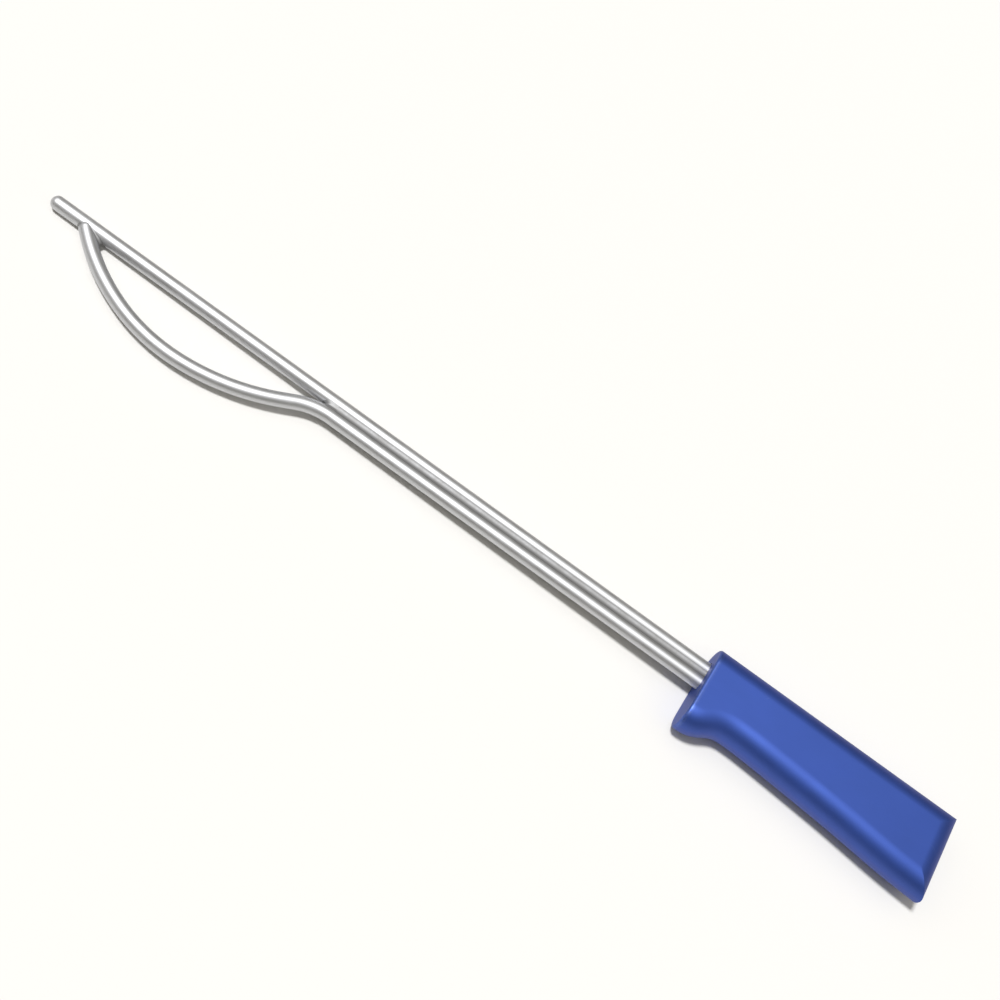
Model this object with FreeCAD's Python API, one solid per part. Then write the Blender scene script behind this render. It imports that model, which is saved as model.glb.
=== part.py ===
import FreeCAD, Part
import os
from math import sin, cos, tan, radians, degrees, hypot, pi, sqrt, atan2
from FreeCAD import Vector as V

os.makedirs("parts", exist_ok=True)

# ---------------------------------------------------------------------------
# Surgical dissector: a straight round rod with a blunt domed tip, a second
# rod of the same bar bowed out beside it and coped back onto it, the pair
# brazed together and plugged into a flat-sided aluminium handle.
#
# Working axes while modelling (mm): X runs along the straight rod from its
# tip (0) to the butt of the handle, the bow and the finger side of the
# handle are at -Y, Z = 0 is the plane of both rods.  At the end everything
# is moved so that the origin is at the middle of the bottom of the box.
# ---------------------------------------------------------------------------

# rods
ROD_D = 5.0                 # bar diameter of both rods
ROD_R = ROD_D / 2.0
PITCH = 5.06                # axis to axis where the rods run side by side
SOCKET_BOTTOM_GAP = 1.5     # room left behind the rod ends in the socket
ROD_END_CHAMFER = 0.4       # hidden ends of the rods

# bow, from the handle towards the tip, as tangent arcs (radius, degrees)
BOW_START_X = 114.6         # where the second rod leaves the pair
BOW_S_R, BOW_S_A = 25.0, 29.6
BOW_STRAIGHT = 4.2
BOW_ARCS = [(77.8, 25.7), (62.7, 23.3), (73.8, 20.5)]
BOW_END_A = 46.0            # upper bound of the angle at which it meets the straight rod
BOW_LAST_R = 81.8
BOW_END_Y = -1.5            # centre of the bow's domed end

# handle
FRONT_X = 260.0             # front face
BUTT_X = 354.8              # butt, halfway between the long sides
BUTT_SLANT = 1.5            # degrees by which the butt leans out towards the finger side
HANDLE_T = 15.0             # thickness between the two flat sides
TOP_Y = 7.97                # straight top line
R_FINGER = 7.1              # rolled finger side
R_TOP = 7.1                 # rolled top line
R_FRONT = 0.9               # edge of the front face
R_BUTT = 7.1                # rolled butt, mitred with both long sides
# finger side of the outline: guard lobe, neck, swell towards the heel
FINGER = [(260.0, -22.8), (264.0, -22.55), (268.0, -21.1), (272.5, -18.48),
          (278.0, -17.77), (288.0, -18.13), (304.0, -19.12), (324.0, -20.67),
          (340.0, -22.2), (354.8, -23.0)]

# socket in the handle and what holds the rods in it
SOCKET_R = 2.7
SOCKET_DEPTH = 52.0
BOND_RECESS = 0.35
SCREW_D = 4.0               # set screws, M4
SCREW_CLEAR = 0.03
SCREW_X = (273.0, 298.0)
SCREW_POINT_Y = 2.52
SCREW_HEAD_Y = 7.2
HEX_AF = 2.0
HEX_DEPTH = 1.7

# braze
FILLET_R = 2.3              # hollow of the seam fillets
FILLET_ROOT = 0.65          # the fillets start this far from the rod plane
CROTCH_X0 = 107.6           # end of the puddle in the crotch of the loop
CROTCH_H = 1.7
WELD_R_SHARP = 1.1          # hollow of the weld in the sharp corner at the bow's end
WELD_R_OPEN = 1.3           # and in the open corner
WELD_H = 1.9


def cyl(p, axis, r, length):
    return Part.makeCylinder(r, length, V(*p), V(*axis))


def biggest(shape):
    return max(shape.Solids, key=lambda s: s.Volume)


# ---- straight rod ---------------------------------------------------------
rod_end = FRONT_X + SOCKET_DEPTH - SOCKET_BOTTOM_GAP


def revolve_profile(points_and_arcs):
    face = Part.Face(Part.Wire(points_and_arcs))
    return face.revolve(V(0, 0, 0), V(1, 0, 0), 360)


a45 = radians(45)
dome = Part.Arc(V(0, 0, 0), V(ROD_R - ROD_R * cos(a45), ROD_R * sin(a45), 0), V(ROD_R, ROD_R, 0)).toShape()
straight_rod = revolve_profile([
    dome,
    Part.LineSegment(V(ROD_R, ROD_R, 0), V(rod_end - ROD_END_CHAMFER, ROD_R, 0)).toShape(),
    Part.LineSegment(V(rod_end - ROD_END_CHAMFER, ROD_R, 0), V(rod_end, ROD_R - ROD_END_CHAMFER, 0)).toShape(),
    Part.LineSegment(V(rod_end, ROD_R - ROD_END_CHAMFER, 0), V(rod_end, 0, 0)).toShape(),
    Part.LineSegment(V(rod_end, 0, 0), V(0, 0, 0)).toShape(),
])

# ---- bowed rod ------------------------------------------------------------


def bow_edges():
    """Tangent path from the handle to the straight rod's axis."""
    edges = []
    x, y, h = rod_end - ROD_END_CHAMFER, -PITCH, pi
    p = V(x, y, 0)
    q = V(BOW_START_X, y, 0)
    edges.append(Part.LineSegment(p, q).toShape())
    x, y = BOW_START_X, -PITCH

    def arc(x, y, h, r, a, left):
        sg = 1 if left else -1
        cx = x + sg * r * cos(h + pi / 2)
        cy = y + sg * r * sin(h + pi / 2)

        def at(k):
            hh = h + sg * a * k
            return V(cx - sg * r * cos(hh + pi / 2), cy - sg * r * sin(hh + pi / 2), 0)
        e = Part.Arc(at(0), at(0.5), at(1)).toShape()
        q = at(1)
        return e, q.x, q.y, h + sg * a

    e, x, y, h = arc(x, y, h, BOW_S_R, radians(BOW_S_A), True)
    edges.append(e)
    nx, ny = x + cos(h) * BOW_STRAIGHT, y + sin(h) * BOW_STRAIGHT
    edges.append(Part.LineSegment(V(x, y, 0), V(nx, ny, 0)).toShape())
    x, y = nx, ny
    for r, a in BOW_ARCS:
        e, x, y, h = arc(x, y, h, r, radians(a), False)
        edges.append(e)
    # last arc stops where the domed end is centred, short of the straight rod's axis
    a_full = radians(BOW_END_A) - (pi - h)
    lo, hi = 0.0, a_full
    for _ in range(60):
        mid = (lo + hi) / 2.0
        yy = arc(x, y, h, BOW_LAST_R, mid, False)[2]
        if yy < BOW_END_Y:
            lo = mid
        else:
            hi = mid
    e, x, y, h = arc(x, y, h, BOW_LAST_R, lo, False)
    edges.append(e)
    return edges, V(x, y, 0), h


edges, bow_end, end_heading = bow_edges()
hd = V(cos(end_heading), sin(end_heading), 0)
joint = bow_end - hd * (bow_end.y / hd.y)          # crossing of the two axes
print("bow ends at %.2f, %.2f, its axis would cross the straight rod at x = %.2f, heading %.1f deg" %
      (bow_end.x, bow_end.y, joint.x, degrees(end_heading)))
path = Part.Wire(edges)
circle = Part.Wire([Part.makeCircle(ROD_R, V(rod_end - ROD_END_CHAMFER, -PITCH, 0), V(1, 0, 0))])
bow_full = path.makePipeShell([circle], True, False)
end_cone = Part.makeCone(ROD_R, ROD_R - ROD_END_CHAMFER, ROD_END_CHAMFER,
                         V(rod_end - ROD_END_CHAMFER, -PITCH, 0), V(1, 0, 0))
bow_full = bow_full.fuse(end_cone).fuse(Part.makeSphere(ROD_R, bow_end)).removeSplitter()
bowed_rod = biggest(bow_full.cut(straight_rod))
print("bowed rod volume %.1f, path %.1f x section %.2f = %.1f" %
      (bowed_rod.Volume, path.Length, pi * ROD_R ** 2, path.Length * pi * ROD_R ** 2))

# ---- braze along the pair ---------------------------------------------------


def seam(sign):
    """Hollow fillet lying in the groove between the two rods."""
    half = PITCH / 2.0
    hc = sqrt((ROD_R + FILLET_R) ** 2 - half ** 2)      # centre of the hollow
    k = ROD_R / (ROD_R + FILLET_R)
    # tangent points of the hollow with both rods (rod 1 at y = 0, rod 2 at -PITCH)
    t1 = (-half * k, hc * k)
    t2 = (-PITCH + half * k, hc * k)
    zr = FILLET_ROOT
    r1 = (-sqrt(ROD_R ** 2 - zr ** 2), zr)
    r2 = (-PITCH + sqrt(ROD_R ** 2 - zr ** 2), zr)

    def pt(q):
        return V(BOW_START_X, q[0], sign * q[1])

    def mid_on_rod(cy, a, b):
        aa = atan2(a[1], a[0] - cy)
        bb = atan2(b[1], b[0] - cy)
        m = (aa + bb) / 2
        return (cy + ROD_R * cos(m), ROD_R * sin(m))
    w = Part.Wire([
        Part.Arc(pt(r1), pt(mid_on_rod(0, r1, t1)), pt(t1)).toShape(),
        Part.Arc(pt(t1), pt((-half, hc - FILLET_R)), pt(t2)).toShape(),
        Part.Arc(pt(t2), pt(mid_on_rod(-PITCH, r2, t2)), pt(r2)).toShape(),
        Part.LineSegment(pt(r2), pt(r1)).toShape(),
    ])
    return Part.Face(w).extrude(V(rod_end - 6.0 - BOW_START_X, 0, 0)), hc - FILLET_R


seam_upper, meniscus = seam(1)
seam_lower, _ = seam(-1)
print("groove filled to %.2f mm from the rod plane" % meniscus)

# puddle in the crotch where the loop starts
blk = Part.makeBox(BOW_START_X - CROTCH_X0, PITCH, 2 * CROTCH_H, V(CROTCH_X0, -PITCH, -CROTCH_H))
crotch = blk.cut(straight_rod).cut(bow_full)
crotch = crotch.cut(cyl((CROTCH_X0 - 0.15, -PITCH / 2 - 0.75, -3), (0, 0, 1), 0.95, 6))
crotch = biggest(crotch)

# ---- weld in the two corners where the bow's end sits on the straight rod --------


def web(c, nrm, deep, rho, height):
    """Small hollow-faced web: c centre of the hollow, nrm from the bow to c,
    deep a point in the middle of the corner."""
    t1 = V(c.x, -ROD_R, 0)
    t2 = c - nrm * rho
    q1 = t1 + V(0, 1.5, 0)
    q2 = t2 - nrm * 1.5
    down = V(0, 0, -height)
    face = Part.Face(Part.makePolygon([p + down for p in (c, t1, q1, deep, q2, t2, c)]))
    w = face.extrude(V(0, 0, 2 * height))
    w = w.cut(cyl((c.x, c.y, -5), (0, 0, 1), rho, 10))
    w = w.cut(straight_rod).cut(bow_full)
    print("web: centre %.2f %.2f, solids %s" % (c.x, c.y, [round(q.Volume, 2) for q in w.Solids]))
    return biggest(w)


# sharp corner, inside the loop: hollow tangent to both rods
nrm_in = V(sin(end_heading), -cos(end_heading), 0)
off = ROD_R + WELD_R_SHARP
c_in = V(bow_end.x + (off - (-off - bow_end.y) * nrm_in.y) / nrm_in.x, -off, 0)
half_corner = (pi - end_heading) / 2.0
deep_in = V(joint.x + 1.0 / tan(half_corner), -1.0, 0)
# open corner, towards the tip: hollow tangent to the dome and to the straight rod
off = ROD_R + WELD_R_OPEN
c_out = V(bow_end.x - sqrt(off ** 2 - (off + bow_end.y) ** 2), -off, 0)
nrm_out = (c_out - bow_end) * (1.0 / off)
deep_out = bow_end + V(-0.9, -0.1, 0)
weld = Part.makeCompound([web(c_in, nrm_in, deep_in, WELD_R_SHARP, WELD_H),
                          web(c_out, nrm_out, deep_out, WELD_R_OPEN, WELD_H)])

# ---- handle -----------------------------------------------------------------
z0 = -HANDLE_T / 2.0


def v2(p):
    return V(p[0], p[1], z0)


finger = Part.BSplineCurve()
finger.interpolate(Points=[v2(p) for p in FINGER])
# past the butt the finger side runs straight on, so that the rolls end outside the handle
u = finger.tangent(finger.LastParameter)[0]
far_x = BUTT_X + 12.0
far = (far_x, FINGER[-1][1] + u.y / u.x * (far_x - FINGER[-1][0]))
run_on = Part.BSplineCurve()
run_on.interpolate(Points=[v2(p) for p in FINGER] + [v2(far)])
outline = Part.Wire([
    run_on.toShape(),
    Part.LineSegment(v2(far), v2((far_x, TOP_Y))).toShape(),
    Part.LineSegment(v2((far_x, TOP_Y)), v2((FRONT_X, TOP_Y))).toShape(),
    Part.LineSegment(v2((FRONT_X, TOP_Y)), v2(FINGER[0])).toShape(),
])
block = Part.Face(outline).extrude(V(0, 0, HANDLE_T))


def mid_of(e):
    return e.valueAt((e.FirstParameter + e.LastParameter) / 2.0)


def pick(shape, test):
    return [e for e in shape.Edges if test(e)]


def long_finger(e):
    m = mid_of(e)
    return e.Length > 60 and m.y < -10 and abs(abs(m.z) - HANDLE_T / 2) < 1e-6


def long_top(e):
    m = mid_of(e)
    return e.Length > 60 and m.y > 0 and abs(abs(m.z) - HANDLE_T / 2) < 1e-6


block = block.makeFillet(R_FINGER, pick(block, long_finger))
block = block.makeFillet(R_TOP, pick(block, long_top))


def in_plane_x(e, x, tol=1e-4):
    bb = e.BoundBox
    return abs(bb.XMin - x) < tol and abs(bb.XMax - x) < tol


front_edges = pick(block, lambda e: in_plane_x(e, FRONT_X))
try:
    block = block.makeFillet(R_FRONT, front_edges)
    print("front edge rounded", len(front_edges))
except Exception as err:
    print("front edge fillet failed:", err)


# the butt: a bar with the same rolled end, laid across, is kept in common with the block
h = HANDLE_T / 2.0
x1 = BUTT_X - R_BUTT
k45 = R_BUTT * cos(radians(45))


def xz(x, z):
    return V(x, -60.0, z)


end_bar = Part.Face(Part.Wire([
    Part.LineSegment(xz(FRONT_X - 20, -h), xz(x1, -h)).toShape(),
    Part.Arc(xz(x1, -h), xz(x1 + k45, -h + R_BUTT - k45), xz(BUTT_X, -h + R_BUTT)).toShape(),
    Part.LineSegment(xz(BUTT_X, -h + R_BUTT), xz(BUTT_X, h - R_BUTT)).toShape(),
    Part.Arc(xz(BUTT_X, h - R_BUTT), xz(x1 + k45, h - R_BUTT + k45), xz(x1, h)).toShape(),
    Part.LineSegment(xz(x1, h), xz(FRONT_X - 20, h)).toShape(),
    Part.LineSegment(xz(FRONT_X - 20, h), xz(FRONT_X - 20, -h)).toShape(),
])).extrude(V(0, 120.0, 0))
end_bar.rotate(V(BUTT_X, (TOP_Y + FINGER[-1][1]) / 2.0, 0), V(0, 0, 1), BUTT_SLANT)
block = biggest(block.common(end_bar))
print("handle block valid", block.isValid(), "faces", len(block.Faces), "volume %.1f" % block.Volume)


def obround(r, x0, x1):
    a = cyl((x0, 0, 0), (1, 0, 0), r, x1 - x0)
    b = cyl((x0, -PITCH, 0), (1, 0, 0), r, x1 - x0)
    c = Part.makeBox(x1 - x0, PITCH, 2 * r, V(x0, -PITCH, -r))
    return a.fuse(b).fuse(c).removeSplitter()


socket = obround(SOCKET_R, FRONT_X - 5, FRONT_X + SOCKET_DEPTH)
handle = block.cut(socket)
for sx in SCREW_X:
    handle = handle.cut(cyl((sx, 0.5, 0), (0, 1, 0), SCREW_D / 2 + SCREW_CLEAR, 12))
handle = biggest(handle)

# ---- what holds the rods in the socket -----------------------------------------
bond = obround(SOCKET_R, FRONT_X + BOND_RECESS, rod_end - 8.0)
bond = bond.cut(straight_rod).cut(bow_full).cut(seam_upper).cut(seam_lower)
for sx in SCREW_X:
    bond = bond.cut(cyl((sx, 0.5, 0), (0, 1, 0), SCREW_D / 2 + SCREW_CLEAR, 12))
print("bond solids", [round(s.Volume, 2) for s in bond.Solids])
bond_solids = [s for s in bond.Solids if s.Volume > 20.0]
bond = bond_solids[0] if len(bond_solids) == 1 else Part.makeCompound(bond_solids)

screws = []
for sx in SCREW_X:
    length = SCREW_HEAD_Y - SCREW_POINT_Y
    s = cyl((sx, SCREW_POINT_Y, 0), (0, 1, 0), SCREW_D / 2, length)
    tip_ring = [e for e in s.Edges if abs(e.BoundBox.YMax - SCREW_POINT_Y) < 1e-4 and e.Length > 1]
    top_ring = [e for e in s.Edges if abs(e.BoundBox.YMin - SCREW_HEAD_Y) < 1e-4 and e.Length > 1]
    s = s.makeChamfer(0.35, tip_ring + top_ring)
    rr = HEX_AF / 2 / cos(radians(30))
    hexa = Part.makePolygon([V(sx + rr * cos(radians(60 * i)), SCREW_HEAD_Y + 0.01, rr * sin(radians(60 * i)))
                             for i in range(7)])
    s = s.cut(Part.Face(hexa).extrude(V(0, -HEX_DEPTH, 0)))
    screws.append(biggest(s))
set_screws = Part.makeCompound(screws)

parts = {
    "handle": handle,
    "straight_rod": straight_rod,
    "bowed_rod": bowed_rod,
    "seam_braze_upper": seam_upper,
    "seam_braze_lower": seam_lower,
    "loop_crotch_braze": crotch,
    "tip_weld": weld,
    "socket_bond": bond,
    "set_screws": set_screws,
}

# ---- move to the final frame: middle of the bottom of the box ------------------
pts = [q for s in parts.values() for q in s.tessellate(0.01)[0]]
lo = [min(q[i] for q in pts) for i in range(3)]
hi = [max(q[i] for q in pts) for i in range(3)]
shift = V(-(lo[0] + hi[0]) / 2.0, -(lo[1] + hi[1]) / 2.0, -lo[2])
print("box %.3f x %.3f x %.3f, shift %.4f %.4f %.4f" %
      (hi[0] - lo[0], hi[1] - lo[1], hi[2] - lo[2], shift.x, shift.y, shift.z))
for name, s in parts.items():
    s = s.copy()
    s.translate(shift)
    s.exportStep("parts/" + name + ".step")
    bb = s.optimalBoundingBox(False)
    print("%-18s solids %d valid %s volume %10.2f  x %.2f..%.2f y %.2f..%.2f z %.2f..%.2f" %
          (name, len(s.Solids), s.isValid(), s.Volume, bb.XMin, bb.XMax, bb.YMin, bb.YMax, bb.ZMin, bb.ZMax))
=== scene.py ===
from math import sin, cos, tan, radians, sqrt, pi, atan2

import bpy
import numpy as np
from mathutils import Matrix, Vector


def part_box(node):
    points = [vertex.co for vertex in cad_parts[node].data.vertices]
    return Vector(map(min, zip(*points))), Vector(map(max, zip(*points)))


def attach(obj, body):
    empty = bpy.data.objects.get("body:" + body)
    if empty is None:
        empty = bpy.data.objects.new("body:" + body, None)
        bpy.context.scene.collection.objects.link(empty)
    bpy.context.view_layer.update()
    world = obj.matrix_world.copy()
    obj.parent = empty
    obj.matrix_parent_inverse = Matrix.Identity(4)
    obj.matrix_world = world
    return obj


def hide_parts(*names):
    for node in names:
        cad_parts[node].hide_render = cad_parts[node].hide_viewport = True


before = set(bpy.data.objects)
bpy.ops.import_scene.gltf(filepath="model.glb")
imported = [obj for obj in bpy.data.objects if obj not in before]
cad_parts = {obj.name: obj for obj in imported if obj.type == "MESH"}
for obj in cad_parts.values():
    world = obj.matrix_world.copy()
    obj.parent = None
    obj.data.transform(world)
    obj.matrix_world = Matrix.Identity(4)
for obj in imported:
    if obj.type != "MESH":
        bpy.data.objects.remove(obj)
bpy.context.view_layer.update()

# Working axes of this script, in mm: X along the straight rod from its tip, the
# bow and the finger side at -Y, Z = 0 in the plane of both rods.  SHIFT moves
# them to the row frame; it is checked against the straight rod's own node.
SHIFT = np.array([-177.6029, 7.5216, 7.5])
_lo, _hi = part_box("straight_rod")
assert abs(_lo.x * 1000 - SHIFT[0]) < 0.05, _lo
assert abs((_lo.y + _hi.y) * 500 - SHIFT[1]) < 0.05, (_lo, _hi)
assert abs((_lo.z + _hi.z) * 500 - SHIFT[2]) < 0.05, (_lo, _hi)

ROD_R = 2.5
PITCH = 5.06
ROD_END = 310.5
FRONT_X, BUTT_X, BUTT_SLANT = 260.0, 354.8, 1.5
TOP_Y, HALF_T = 7.97, 7.5
R_ROLL, R_FRONT = 7.1, 0.9
LAND = HALF_T - R_ROLL
FINGER = [(260.0, -22.8), (264.0, -22.55), (268.0, -21.1), (272.5, -18.48),
          (278.0, -17.77), (288.0, -18.13), (304.0, -19.12), (324.0, -20.67),
          (340.0, -22.2), (354.8, -23.0)]
SOCKET_R, SOCKET_DEPTH = 2.7, 52.0
SCREW_X, SCREW_HOLE_R = (273.0, 298.0), 2.03


def to_frame(v):
    return (np.asarray(v, float) + SHIFT) / 1000.0


# ---------------------------------------------------------------------------
# materials
# ---------------------------------------------------------------------------

def new_material(name):
    m = bpy.data.materials.new(name)
    m.use_nodes = True
    nt = m.node_tree
    nt.nodes.clear()
    out = nt.nodes.new("ShaderNodeOutputMaterial")
    bsdf = nt.nodes.new("ShaderNodeBsdfPrincipled")
    nt.links.new(bsdf.outputs[0], out.inputs["Surface"])
    return m, nt, bsdf


def node(nt, kind, **inputs):
    n = nt.nodes.new(kind)
    for k, v in inputs.items():
        if hasattr(n, k):
            setattr(n, k, v)
        else:
            n.inputs[k.replace("_", " ")].default_value = v
    return n


def mapping(nt, source, scale, rotation=(0, 0, 0), offset=(0, 0, 0)):
    m = nt.nodes.new("ShaderNodeMapping")
    m.inputs["Scale"].default_value = scale
    m.inputs["Rotation"].default_value = rotation
    m.inputs["Location"].default_value = offset
    nt.links.new(source, m.inputs["Vector"])
    return m.outputs[0]


def noise(nt, vec, scale, detail=3.0, rough=0.55, distortion=0.0):
    n = nt.nodes.new("ShaderNodeTexNoise")
    n.inputs["Scale"].default_value = scale
    n.inputs["Detail"].default_value = detail
    n.inputs["Roughness"].default_value = rough
    n.inputs["Distortion"].default_value = distortion
    nt.links.new(vec, n.inputs["Vector"])
    return n.outputs["Fac"]


def ramp(nt, fac, stops, interpolation="LINEAR"):
    r = nt.nodes.new("ShaderNodeValToRGB")
    r.color_ramp.interpolation = interpolation
    while len(r.color_ramp.elements) < len(stops):
        r.color_ramp.elements.new(0.5)
    for e, (p, c) in zip(r.color_ramp.elements, stops):
        e.position = p
        e.color = c if hasattr(c, "__len__") else (c, c, c, 1)
    nt.links.new(fac, r.inputs[0])
    return r.outputs[0]


def remap(nt, fac, a, b, lo, hi):
    r = nt.nodes.new("ShaderNodeMapRange")
    r.inputs["From Min"].default_value = a
    r.inputs["From Max"].default_value = b
    r.inputs["To Min"].default_value = lo
    r.inputs["To Max"].default_value = hi
    nt.links.new(fac, r.inputs["Value"])
    return r.outputs[0]


def math(nt, op, a, b, clamp=False):
    n = nt.nodes.new("ShaderNodeMath")
    n.operation = op
    n.use_clamp = clamp
    for i, x in enumerate((a, b)):
        if isinstance(x, (int, float)):
            n.inputs[i].default_value = x
        else:
            nt.links.new(x, n.inputs[i])
    return n.outputs[0]


def mix_color(nt, fac, a, b):
    n = nt.nodes.new("ShaderNodeMix")
    n.data_type = "RGBA"
    if isinstance(fac, (int, float)):
        n.inputs["Factor"].default_value = fac
    else:
        nt.links.new(fac, n.inputs["Factor"])
    for key, x in (("A", a), ("B", b)):
        sock = [s for s in n.inputs if s.name == key and s.type == "RGBA"][0]
        if hasattr(x, "__len__"):
            sock.default_value = x
        else:
            nt.links.new(x, sock)
    return [s for s in n.outputs if s.type == "RGBA"][0]


def bump(nt, height, strength, distance, normal=None):
    b = nt.nodes.new("ShaderNodeBump")
    b.inputs["Strength"].default_value = strength
    b.inputs["Distance"].default_value = distance
    nt.links.new(height, b.inputs["Height"])
    if normal is not None:
        nt.links.new(normal, b.inputs["Normal"])
    return b.outputs[0]


def attribute(nt, name):
    a = nt.nodes.new("ShaderNodeAttribute")
    a.attribute_name = name
    return a


def steel_material(name, base, rough, streak=1.0):
    """Satin stainless bar: lengthwise linishing, cross scratches, cloudy patches.
    It reads the point attribute "grain", the place on the straightened bar in metres."""
    m, nt, bsdf = new_material(name)
    g = attribute(nt, "grain").outputs["Vector"]
    long_lines = noise(nt, mapping(nt, g, (0.035, 1.0, 1.0)), 9000, 4.0, 0.62)
    fine_lines = noise(nt, mapping(nt, g, (0.02, 1.0, 1.0)), 26000, 3.0, 0.6)
    clouds = noise(nt, g, 160, 4.0, 0.55, 0.4)
    bands = noise(nt, mapping(nt, g, (1.0, 0.25, 0.25)), 900, 3.0, 0.6)
    # a few separate scratches, thin and slightly slanted
    sc_vec = mapping(nt, g, (0.09, 1.0, 1.0), rotation=(0.0, 0.10, 0.16))
    sc = nt.nodes.new("ShaderNodeTexVoronoi")
    sc.feature = "DISTANCE_TO_EDGE"
    sc.inputs["Scale"].default_value = 520
    sc.inputs["Randomness"].default_value = 1.0
    nt.links.new(sc_vec, sc.inputs["Vector"])
    scratch = ramp(nt, sc.outputs["Distance"], [(0.0, 1.0), (0.012, 0.0)])
    gate = ramp(nt, noise(nt, g, 75, 2.0, 0.5), [(0.52, 0.0), (0.62, 1.0)])
    scratch = math(nt, "MULTIPLY", scratch, gate)
    tone = mix_color(nt, clouds, tuple(x * 0.955 for x in base) + (1,), tuple(min(1, x * 1.03) for x in base) + (1,))
    tone = mix_color(nt, math(nt, "MULTIPLY", scratch, 0.25), tone, (0.82, 0.82, 0.83, 1))
    nt.links.new(tone, bsdf.inputs["Base Color"])
    r = remap(nt, long_lines, 0.25, 0.75, rough - 0.045 * streak, rough + 0.055 * streak)
    r = math(nt, "ADD", r, remap(nt, clouds, 0.3, 0.7, -0.025, 0.03))
    r = math(nt, "ADD", r, remap(nt, bands, 0.3, 0.7, -0.012, 0.012))
    r = math(nt, "SUBTRACT", r, math(nt, "MULTIPLY", scratch, 0.08), clamp=True)
    nt.links.new(r, bsdf.inputs["Roughness"])
    n1 = bump(nt, long_lines, 0.20 * streak, 0.000012)
    n2 = bump(nt, fine_lines, 0.16 * streak, 0.000006, n1)
    n3 = bump(nt, scratch, -0.25, 0.000012, n2)
    nt.links.new(n3, bsdf.inputs["Normal"])
    bsdf.inputs["Metallic"].default_value = 1.0
    return m


def braze_with_groove_shade_material(name, base, rough):
    """Filler metal that has flowed and been cleaned: finely rippled and duller than the bar. Its dark base colour is
    partly the filler's own duller metal and partly painted shade of the groove between the rods and of the crease at
    the weld.
    """
    m, nt, bsdf = new_material(name)
    tc = nt.nodes.new("ShaderNodeTexCoord").outputs["Object"]
    ripple = noise(nt, mapping(nt, tc, (1.0, 0.45, 0.45)), 1500, 4.0, 0.55, 0.5)
    grain = noise(nt, tc, 9000, 3.0, 0.6)
    stain = noise(nt, tc, 210, 4.0, 0.6, 0.6)
    tone = mix_color(nt, ramp(nt, stain, [(0.35, 0.0), (0.7, 1.0)]),
                     tuple(base) + (1,), (base[0] * 0.93, base[1] * 0.92, base[2] * 0.90, 1))
    nt.links.new(tone, bsdf.inputs["Base Color"])
    r = remap(nt, grain, 0.25, 0.75, rough - 0.06, rough + 0.06)
    r = math(nt, "ADD", r, remap(nt, stain, 0.3, 0.7, -0.03, 0.05), clamp=True)
    nt.links.new(r, bsdf.inputs["Roughness"])
    n1 = bump(nt, ripple, 0.28, 0.00006)
    n2 = bump(nt, grain, 0.25, 0.000015, n1)
    nt.links.new(n2, bsdf.inputs["Normal"])
    bsdf.inputs["Metallic"].default_value = 1.0
    return m


def anodised_material(name):
    """Blue anodised aluminium, fine bead-blasted satin; the dye is thinner on the edges
    (point attribute "edge", 1 on an edge) and handling has polished it a little."""
    m, nt, bsdf = new_material(name)
    tc = nt.nodes.new("ShaderNodeTexCoord").outputs["Object"]
    blast = noise(nt, tc, 7000, 4.0, 0.65)
    blast2 = noise(nt, tc, 2300, 3.0, 0.55)
    dye = noise(nt, mapping(nt, tc, (0.6, 1.0, 1.0)), 55, 4.0, 0.55, 0.3)
    mill = noise(nt, mapping(nt, tc, (0.03, 1.0, 1.0)), 4200, 3.0, 0.6)
    hand = noise(nt, mapping(nt, tc, (0.7, 1.0, 1.0)), 95, 3.0, 0.5, 0.8)
    edge = attribute(nt, "edge").outputs["Fac"]
    wear_noise = noise(nt, tc, 900, 4.0, 0.65)
    wear = math(nt, "MULTIPLY", edge, remap(nt, wear_noise, 0.35, 0.7, 0.25, 1.0), clamp=True)
    # fine pale nicks and hairlines
    sc = nt.nodes.new("ShaderNodeTexVoronoi")
    sc.feature = "DISTANCE_TO_EDGE"
    sc.inputs["Scale"].default_value = 210
    sc.inputs["Randomness"].default_value = 1.0
    nt.links.new(mapping(nt, tc, (0.12, 1.0, 0.8), rotation=(0.2, 0.05, 0.32)), sc.inputs["Vector"])
    hair = ramp(nt, sc.outputs["Distance"], [(0.0, 1.0), (0.006, 0.0)])
    hair = math(nt, "MULTIPLY", hair, ramp(nt, noise(nt, tc, 48, 2.0, 0.5), [(0.55, 0.0), (0.66, 1.0)]))
    deep = (0.0290, 0.0880, 0.425, 1)
    pale = (0.0350, 0.0990, 0.470, 1)
    tone = mix_color(nt, ramp(nt, dye, [(0.3, 0.0), (0.7, 1.0)]), deep, pale)
    tone = mix_color(nt, math(nt, "MULTIPLY", wear, 0.42), tone, (0.16, 0.23, 0.52, 1))
    tone = mix_color(nt, math(nt, "MULTIPLY", hair, 0.35), tone, (0.20, 0.28, 0.55, 1))
    nt.links.new(tone, bsdf.inputs["Base Color"])
    r = remap(nt, blast, 0.25, 0.75, 0.55, 0.62)
    r = math(nt, "ADD", r, remap(nt, hand, 0.35, 0.7, -0.03, 0.03))
    r = math(nt, "ADD", r, remap(nt, mill, 0.3, 0.7, -0.02, 0.02))
    r = math(nt, "SUBTRACT", r, math(nt, "MULTIPLY", wear, 0.10), clamp=True)
    nt.links.new(r, bsdf.inputs["Roughness"])
    n1 = bump(nt, blast, 0.22, 0.000018)
    n2 = bump(nt, blast2, 0.12, 0.00003, n1)
    n3 = bump(nt, mill, 0.08, 0.00001, n2)
    nt.links.new(n3, bsdf.inputs["Normal"])
    bsdf.inputs["Metallic"].default_value = 1.0
    bsdf.inputs["Specular Tint"].default_value = (0.03, 0.035, 0.06, 1)
    bsdf.inputs["Coat Weight"].default_value = 0.90
    bsdf.inputs["Coat Roughness"].default_value = 0.50
    bsdf.inputs["Coat IOR"].default_value = 1.5
    return m


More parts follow.
